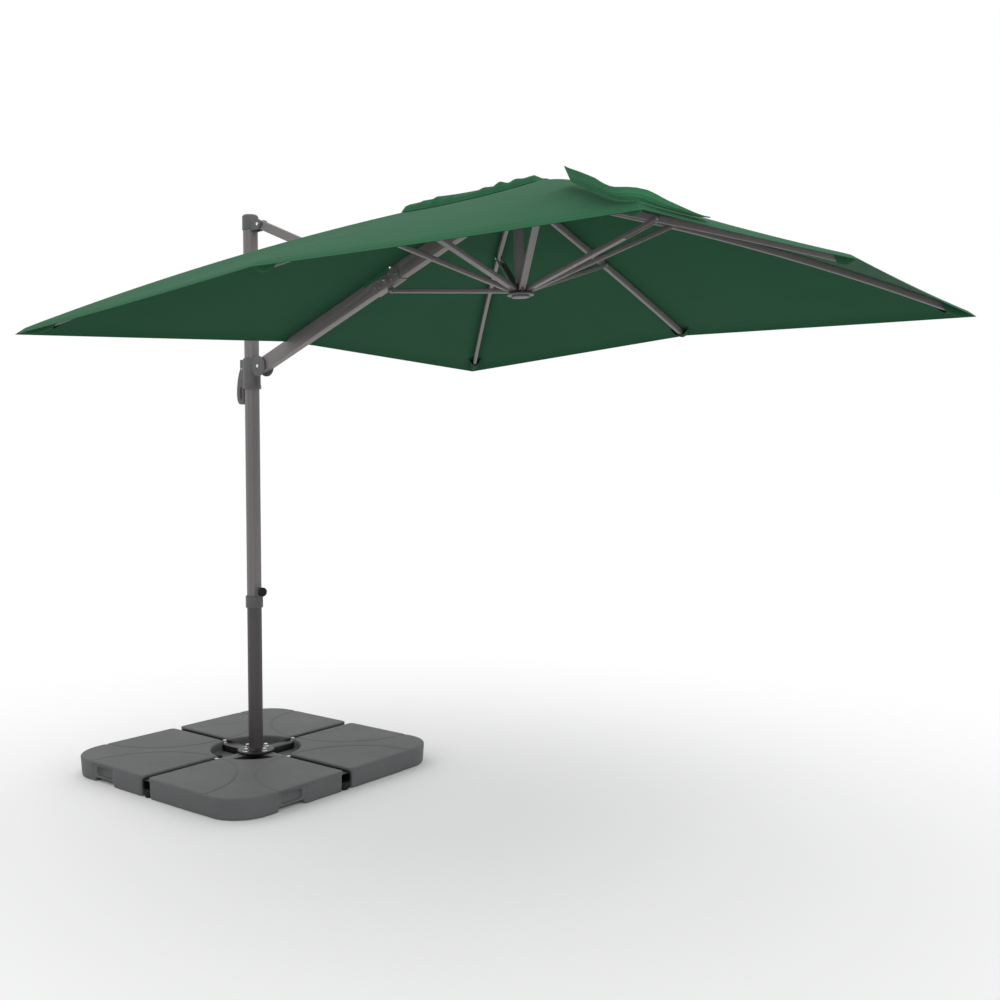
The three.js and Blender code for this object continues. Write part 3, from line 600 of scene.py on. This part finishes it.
def line_height(index, radius):
    """Middle of the cloth's thickness over a canopy line."""
    slope = slope_of(index)
    along = (radius - hinge_radius) / math.cos(slope)
    rise = min(max((along - 0.060) / 0.140, 0), 1) if index % 8 == 4 else 0
    top = (rib_half + 0.019 * rise) / math.cos(slope) + 0.003
    return top - (radius - hinge_radius) * math.tan(slope) + bow(index, max(radius, hinge_radius))


cloth_start = 0.062


def cloth_point(position, share):
    """A point of the sheet. The position counts canopy lines, and the share runs to the edge."""
    first = math.floor(position)
    part = position - first
    ends = []
    for index in (first, first + 1):
        radius = cloth_start + (tip_radius(index) - cloth_start) * share
        turn = index * math.pi / 4
        ends.append(np.array((radius * math.cos(turn), radius * math.sin(turn),
                              line_height(index, radius))))
    point = ends[0] * (1 - part) + ends[1] * part
    dip = 4 * part * (1 - part)
    point[:2] *= 1 - 0.006 * dip * share ** 6
    point[2] -= dip * 0.004 * math.sin(math.pi * min(share * 0.92, 1)) ** 0.8
    point[2] -= 0.010 * min(max((share - 0.975) / 0.025, 0), 1) ** 2
    return point


def sheet_grid(position_of, positions, shares):
    """Points and smooth normals of a sheet over a grid, in the row frame."""
    step = 1e-3
    turn = np.array((east, north, over)).T
    centre = np.array(hub_centre)
    places = np.empty((len(shares), len(positions), 3))
    normals = np.empty_like(places)
    for row, share in enumerate(shares):
        for column, position in enumerate(positions):
            low_share, high_share = max(share - step, 0), min(share + step, 1)
            radial = position_of(position, high_share) - position_of(position, low_share)
            around = position_of(position + 0.02, share) - position_of(position - 0.02, share)
            normal = np.cross(radial, around)
            normals[row, column] = turn @ (normal / np.linalg.norm(normal))
            places[row, column] = centre + turn @ position_of(position, share)
    return places, normals


def sheet_mesh(name, places, normals, thickness, hole=None):
    """A closed sheet of even thickness from its middle surface, with a cloth UV map in metres."""
    rows, columns = places.shape[:2]
    half = thickness / 2
    verts = np.concatenate([(places + normals * half).reshape(-1, 3),
                            (places - normals * half).reshape(-1, 3)])
    size = rows * columns
    solid_cells = {(r, c) for r in range(rows - 1) for c in range(columns - 1)}
    if hole:
        solid_cells -= {(r, c) for r in range(hole[0], hole[1]) for c in range(hole[2], hole[3])}
    vertex = np.arange(size).reshape(rows, columns).tolist()
    faces = []
    for r, c in sorted(solid_cells):
        inner, outer, outer_next, inner_next = quad = [
            vertex[r][c], vertex[r + 1][c], vertex[r + 1][c + 1], vertex[r][c + 1]]
        faces.append(tuple(quad))
        faces.append(tuple(v + size for v in reversed(quad)))
        rim = [((r - 1, c), inner_next, inner), ((r + 1, c), outer, outer_next),
               ((r, c - 1), inner, outer), ((r, c + 1), outer_next, inner_next)]
        for beyond, a, b in rim:
            if beyond not in solid_cells:
                faces.append((b, a, a + size, b + size))
    mesh = bpy.data.meshes.new(name)
    mesh.from_pydata([tuple(v) for v in verts], [], faces)
    around = np.zeros((rows, columns))
    around[:, 1:] = np.cumsum(np.linalg.norm(np.diff(places, axis=1), axis=2), axis=1)
    around -= around[:, [columns // 2]]
    outward = np.zeros((rows, columns))
    outward[1:] = np.cumsum(np.linalg.norm(np.diff(places, axis=0), axis=2), axis=0)
    flat = np.stack([around, outward], axis=2).reshape(-1, 2)
    uv = mesh.uv_layers.new(name="cloth")
    for loop in mesh.loops:
        uv.data[loop.index].uv = flat[loop.vertex_index % size]
    edge = mesh.attributes.new("edge", "FLOAT", "POINT")
    to_edge = (outward[-1][None, :] - outward).ravel()
    edge.data.foreach_set("value", np.concatenate([to_edge, to_edge]).astype(np.float32))
    # The lower layer is marked for painted shade: the material darkens it so the underside reads as shaded.
    inside = mesh.attributes.new("inside", "FLOAT", "POINT")
    inside.data.foreach_set("value", np.repeat([0.0, 1.0], size).astype(np.float32))
    seam = mesh.attributes.new("seam", "FLOAT", "POINT")
    to_seam = np.abs(around).ravel()
    seam.data.foreach_set("value", np.concatenate([to_seam, to_seam]).astype(np.float32))
    used = bmesh.new()
    used.from_mesh(mesh)
    loose = [v for v in used.verts if not v.link_faces]
    kept = np.array([bool(v.link_faces) for v in used.verts])
    if loose:
        bmesh.ops.delete(used, geom=loose, context="VERTS")
        used.to_mesh(mesh)
    used.free()
    mesh.shade_smooth()
    both_sides = np.concatenate([normals.reshape(-1, 3), -normals.reshape(-1, 3)])[kept]
    mesh.normals_split_custom_set_from_vertices([tuple(n) for n in both_sides])
    area = sum(p.area for p in mesh.polygons) / 2
    return mesh, float(outward[-1].max()), float((around.max(axis=1) - around.min(axis=1)).max()), area


weave, given, result = effect(
    "weave", [("Threads", "NodeSocketFloat", 1500.0)],
    [("Height", "NodeSocketFloat"), ("Fade", "NodeSocketFloat")])
flat_map = node(weave, "ShaderNodeUVMap", uv_map="cloth").outputs["UV"]
axes = node(weave, "ShaderNodeSeparateXYZ", {"Vector": flat_map})
waves = []
for axis in ("X", "Y"):
    phase = node(weave, "ShaderNodeMath", {
        0: axes.outputs[axis], 1: given["Threads"]}, operation="MULTIPLY")
    waves.append(node(weave, "ShaderNodeMath", {0: phase.outputs[0]}, operation="SINE").outputs[0])
crossed = node(weave, "ShaderNodeMath", {0: waves[0], 1: waves[1]}, operation="MULTIPLY")
weave.links.new(crossed.outputs[0], result["Height"])
sunned = node(weave, "ShaderNodeTexNoise", {"Vector": flat_map, "Scale": 2.2, "Detail": 6.0})
weave.links.new(sunned.outputs["Fac"], result["Fade"])

stitches, given, result = effect(
    "stitch_row",
    [("Distance", "NodeSocketFloat", 0.0), ("Along", "NodeSocketFloat", 0.0),
     ("Row", "NodeSocketFloat", 0.02), ("Pitch", "NodeSocketFloat", 0.006)],
    [("Mask", "NodeSocketFloat")])
off = node(stitches, "ShaderNodeMath", {0: given["Distance"], 1: given["Row"]}, operation="SUBTRACT")
near = node(stitches, "ShaderNodeMath", {0: off.outputs[0]}, operation="ABSOLUTE")
band = node(stitches, "ShaderNodeMapRange", {
    "Value": near.outputs[0], "From Min": 0.0012, "From Max": 0.0004, "To Min": 0.0, "To Max": 1.0})
count = node(stitches, "ShaderNodeMath", {0: given["Along"], 1: given["Pitch"]}, operation="DIVIDE")
beat = node(stitches, "ShaderNodeMath", {0: count.outputs[0]}, operation="FRACT")
dash = node(stitches, "ShaderNodeMath", {0: beat.outputs[0], 1: 0.7}, operation="LESS_THAN")
both = node(stitches, "ShaderNodeMath", {
    0: band.outputs["Result"], 1: dash.outputs[0]}, operation="MULTIPLY")
stitches.links.new(both.outputs[0], result["Mask"])


def cloth_material(name, dark, light, thread):
    """Woven polyester with its hem and seam stitching, and painted shade on the sheet's lower layer."""
    material, tree, shader = new_material(name, Roughness=0.9, Specular_IOR_Level=0.1, Sheen_Weight=0.02,
                                          Sheen_Roughness=0.5)
    woven = node(tree, "ShaderNodeGroup", node_tree=weave)
    tint = node(tree, "ShaderNodeMixRGB", {"Fac": woven.outputs["Fade"], "Color1": dark, "Color2": light})
    flat = node(tree, "ShaderNodeSeparateXYZ", {
        "Vector": node(tree, "ShaderNodeUVMap", uv_map="cloth").outputs[0]})
    edge = node(tree, "ShaderNodeAttribute", attribute_name="edge").outputs["Fac"]
    seam = node(tree, "ShaderNodeAttribute", attribute_name="seam").outputs["Fac"]
    masks = []
    for distance, along, rows in ((edge, "X", (0.004, 0.024)), (seam, "Y", (0.006,))):
        for row in rows:
            line = node(tree, "ShaderNodeGroup", {"Distance": distance, "Along": flat.outputs[along]},
                        node_tree=stitches)
            line.inputs["Row"].default_value = row
            masks.append(line.outputs["Mask"])
    total = masks[0]
    for mask in masks[1:]:
        total = node(tree, "ShaderNodeMath", {0: total, 1: mask}, operation="MAXIMUM").outputs[0]
    sewn = node(tree, "ShaderNodeMixRGB", {"Fac": total, "Color1": tint.outputs["Color"], "Color2": thread})
    # Painted shade: the lower layer's colour is multiplied darker to stand for the shaded underside.
    colour = node(tree, "ShaderNodeMixRGB", {
        "Fac": node(tree, "ShaderNodeAttribute", attribute_name="inside").outputs["Fac"],
        "Color1": sewn.outputs["Color"], "Color2": (0.6, 0.62, 0.62, 1)}, blend_type="MULTIPLY")
    hem = node(tree, "ShaderNodeMapRange", {"Value": edge, "From Min": 0.026, "From Max": 0.024})
    fold = node(tree, "ShaderNodeMapRange", {"Value": seam, "From Min": 0.010, "From Max": 0.008})
    raised = node(tree, "ShaderNodeMath", {0: hem.outputs["Result"], 1: fold.outputs["Result"]},
                  operation="MAXIMUM")
    plies = node(tree, "ShaderNodeBump", {"Height": raised.outputs[0], "Distance": 0.0012, "Strength": 0.8})
    threads = node(tree, "ShaderNodeBump", {"Height": woven.outputs["Height"], "Distance": 0.0002,
                                            "Strength": 0.3, "Normal": plies.outputs["Normal"]})
    tree.links.new(colour.outputs["Color"], shader.inputs["Base Color"])
    tree.links.new(threads.outputs["Normal"], shader.inputs["Normal"])
    return material


green_cloth = cloth_material("green_polyester", srgb(37, 88, 60), srgb(43, 96, 66), srgb(60, 112, 80))


def wing(name, index, position_of, positions, shares, thickness, material, keep, **options):
    """One division of a sheet, which rides its rib."""
    places, normals = sheet_grid(position_of, positions, shares)
    mesh, length, width, area = sheet_mesh(name, places, normals, thickness, **options)
    obj = linked(name, mesh)
    body = "main_rib" if index == 4 else f"rib_{lines[index]}"
    mesh.materials.append(material)
    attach(obj, body)
    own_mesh(obj)
    return obj


columns = np.linspace(-0.5, 0.5, 25)
rows = np.concatenate([np.linspace(0, 0.12, 6), np.linspace(0.12, 1, 46)[1:]])
for index, line in enumerate(lines):
    options = {}
    positions, shares = index + columns, rows
    if line == "boom":
        slit_inner, slit_outer, slit_half = 0.475, 0.590, 0.044
        extra = np.array((-slit_half, slit_half))
        positions = index + np.sort(np.concatenate([columns[np.abs(columns) > 0.07], [0, *extra]]))
        shares = np.sort(np.concatenate([rows[np.abs(rows - slit_inner) > 0.008], [slit_inner]]))
        shares = np.sort(np.concatenate([shares[np.abs(shares - slit_outer) > 0.008], [slit_outer]]))
        first_row = int(np.argmin(np.abs(shares - slit_inner)))
        last_row = int(np.argmin(np.abs(shares - slit_outer)))
        left = int(np.argmin(np.abs(positions - index + slit_half)))
        options["hole"] = (first_row, last_row, left, left + 2)
    cloth = wing(f"canopy_{line}", index, cloth_point, positions, shares, 0.0016, green_cloth, 0.1,
                 **options)
    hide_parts(f"cloth_{line}")


# The slit's long sides are bound with a doubled strip, which hangs down beside the boom.
for hand, name in ((-1, "left"), (1, "right")):
    rows_along = np.linspace(slit_inner, slit_outer, 12)
    places, normals = sheet_grid(cloth_point, [4 + hand * slit_half], rows_along)
    drop = np.array(over) * -0.022
    strip = np.stack([places[:, 0], places[:, 0] + drop / 2, places[:, 0] + drop], axis=1)
    facing = np.zeros_like(strip) + np.array((0, -1, 0))
    mesh, length, width, area = sheet_mesh(f"slit_binding_{name}", strip, facing, 0.002)
    binding = linked(f"slit_binding_{name}", mesh)
    mesh.materials.append(green_cloth)
    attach(binding, "main_rib")


# ---- Rib pockets -------------------------------------------------------------------------
# A half-cone of the same cloth, sewn under the sheet at the end of every rib. The rib's end
# pushes into it, and that holds the canopy tight.

def pocket_point(index, start, across, along):
    """A point of the pocket. Across runs from -1 to 1 and along from its mouth to the rib's tip."""
    share = start + (0.994 - start) * along
    half_width = 0.038 * (1 - along) + 0.012
    radius = cloth_start + (tip_radius(index) - cloth_start) * share
    position = index + across * half_width / (radius * (0.70 if index % 2 else 1.0))
    point = cloth_point(position, share)
    point[2] -= 0.0018 + (0.036 * (1 - along ** 3) + 0.001) * math.cos(across * math.pi / 2) ** 0.8
    return point


turn_matrix = np.array((east, north, over)).T
across_steps, along_steps = np.linspace(-1, 1, 15), np.linspace(0, 1, 13)
for index, line in enumerate(lines):
    if line == "boom":
        continue
    start = 0.930 if index % 2 else 0.950
    places = np.array([[np.array(hub_centre) + turn_matrix @ pocket_point(index, start, across, along)
                        for across in across_steps] for along in along_steps])
    slopes = np.cross(np.gradient(places, axis=0), np.gradient(places, axis=1))
    slopes /= np.linalg.norm(slopes, axis=2)[:, :, None]
    mesh, length, width, area = sheet_mesh(f"rib_pocket_{line}", places, slopes, 0.0016)
    pocket = linked(f"rib_pocket_{line}", mesh)
    mesh.materials.append(green_cloth)
    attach(pocket, f"rib_{line}")


# ---- Wind vent ---------------------------------------------------------------------------
# A smaller square of the same cloth over the middle of the canopy. It is sewn to the ribs and
# stands loose and wavy between them, so that wind can pass under its edge.

vent_half, waves_per_gore, hem_start = 0.29, 4, 0.93


def vent_point(position, share):
    scale = vent_half / half_side
    point = cloth_point(position, min(share * scale, 1))
    part = position - math.floor(position)
    loose = math.sin(math.pi * part) ** 2
    wave = 0.5 + 0.5 * math.cos(2 * math.pi * waves_per_gore * part)
    turned_down = min(max((share - hem_start) / (1 - hem_start), 0), 1) ** 2
    lift = 0.022 * min(share * 3, 1) + share ** 3 * loose * 0.016 * wave
    point[2] += 0.0025 + lift * (1 - turned_down)
    return point


vent_columns = np.linspace(-0.5, 0.5, 33)
vent_rows = np.linspace(0.06, 1, 24)
for index, line in enumerate(lines):
    wing(f"vent_{line}", index, vent_point, index + vent_columns, vent_rows, 0.0016, green_cloth, 0.1)


# ---- Closing strap -----------------------------------------------------------------------
# A doubled band of lighter green webbing, sewn to the canopy's edge. Its loose end is stiff
# and stands up from the corner's ridge. Each stop below gives the canopy position, the share
# of the way to the edge, the lift off the cloth, and how upright the band stands.

webbing = cloth_material("green_webbing", srgb(60, 126, 88), srgb(70, 138, 98), srgb(96, 155, 118))
strap_path = [(6.955, 0.650, 0.010, 0.97), (6.955, 0.690, 0.002, 0.97), (6.955, 0.740, 0.000, 0.96),
              (6.960, 0.820, 0.000, 0.94), (6.965, 0.900, 0.000, 0.92), (6.975, 0.955, 0.000, 0.88),
              (7.030, 0.980, 0.000, 0.75), (7.12, 0.980, 0.000, 0.60), (7.20, 0.980, 0.000, 0.40),
              (7.25, 0.980, 0.006, 0.25)]
stops = np.array(strap_path)
strap_rows, strap_columns = 60, 7
fine_steps = np.linspace(0, len(stops) - 1, strap_rows)
strap_knots = np.stack([np.interp(fine_steps, np.arange(len(stops)), column) for column in stops.T], axis=1)
kernel = np.ones(7) / 7
for column in strap_knots.T:
    column[:] = np.convolve(np.pad(column, 3, mode="edge"), kernel, mode="valid")
spine, uprights = [], []
for position, share, lift, stand in strap_knots:
    places, normals = sheet_grid(cloth_point, [position], [share])
    spine.append(places[0, 0] + normals[0, 0] * (lift + 0.004))
    uprights.append(normals[0, 0])
spine, uprights = np.array(spine), np.array(uprights)
tangents = np.gradient(spine, axis=0)
tangents /= np.linalg.norm(tangents, axis=1)[:, None]
sideways = np.cross(tangents, uprights)
sideways /= np.linalg.norm(sideways, axis=1)[:, None]
row_numbers = np.arange(strap_rows)
widths = np.interp(row_numbers, [0, 14, 26, 36, 59], [0.052, 0.056, 0.058, 0.036, 0.014])
leans = np.interp(row_numbers, [0, 36], [0.7, 0])
grid_places = np.empty((strap_rows, strap_columns, 3))
grid_normals = np.empty_like(grid_places)
for row in row_numbers:
    stand = strap_knots[row, 3]
    reach = sideways[row] * math.sqrt(max(1 - stand ** 2, 0)) + uprights[row] * stand
    for column, across_share in enumerate(np.linspace(0, 1, strap_columns)):
        leaning = reach + tangents[row] * leans[row]
        grid_places[row, column] = spine[row] + leaning * widths[row] * across_share
        grid_normals[row, column] = np.cross(tangents[row], reach)
strap_mesh, strap_length, strap_width, strap_area = sheet_mesh(
    "closing_strap", grid_places, grid_normals, 0.003)
strap = linked("closing_strap", strap_mesh)
strap_mesh.materials.append(webbing)
# The strap gets no painted shade on either layer.
strap_mesh.attributes["inside"].data.foreach_set("value", np.zeros(len(strap_mesh.vertices), np.float32))
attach(strap, "rib_front_right")
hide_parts("tie_strap")
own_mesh(strap)
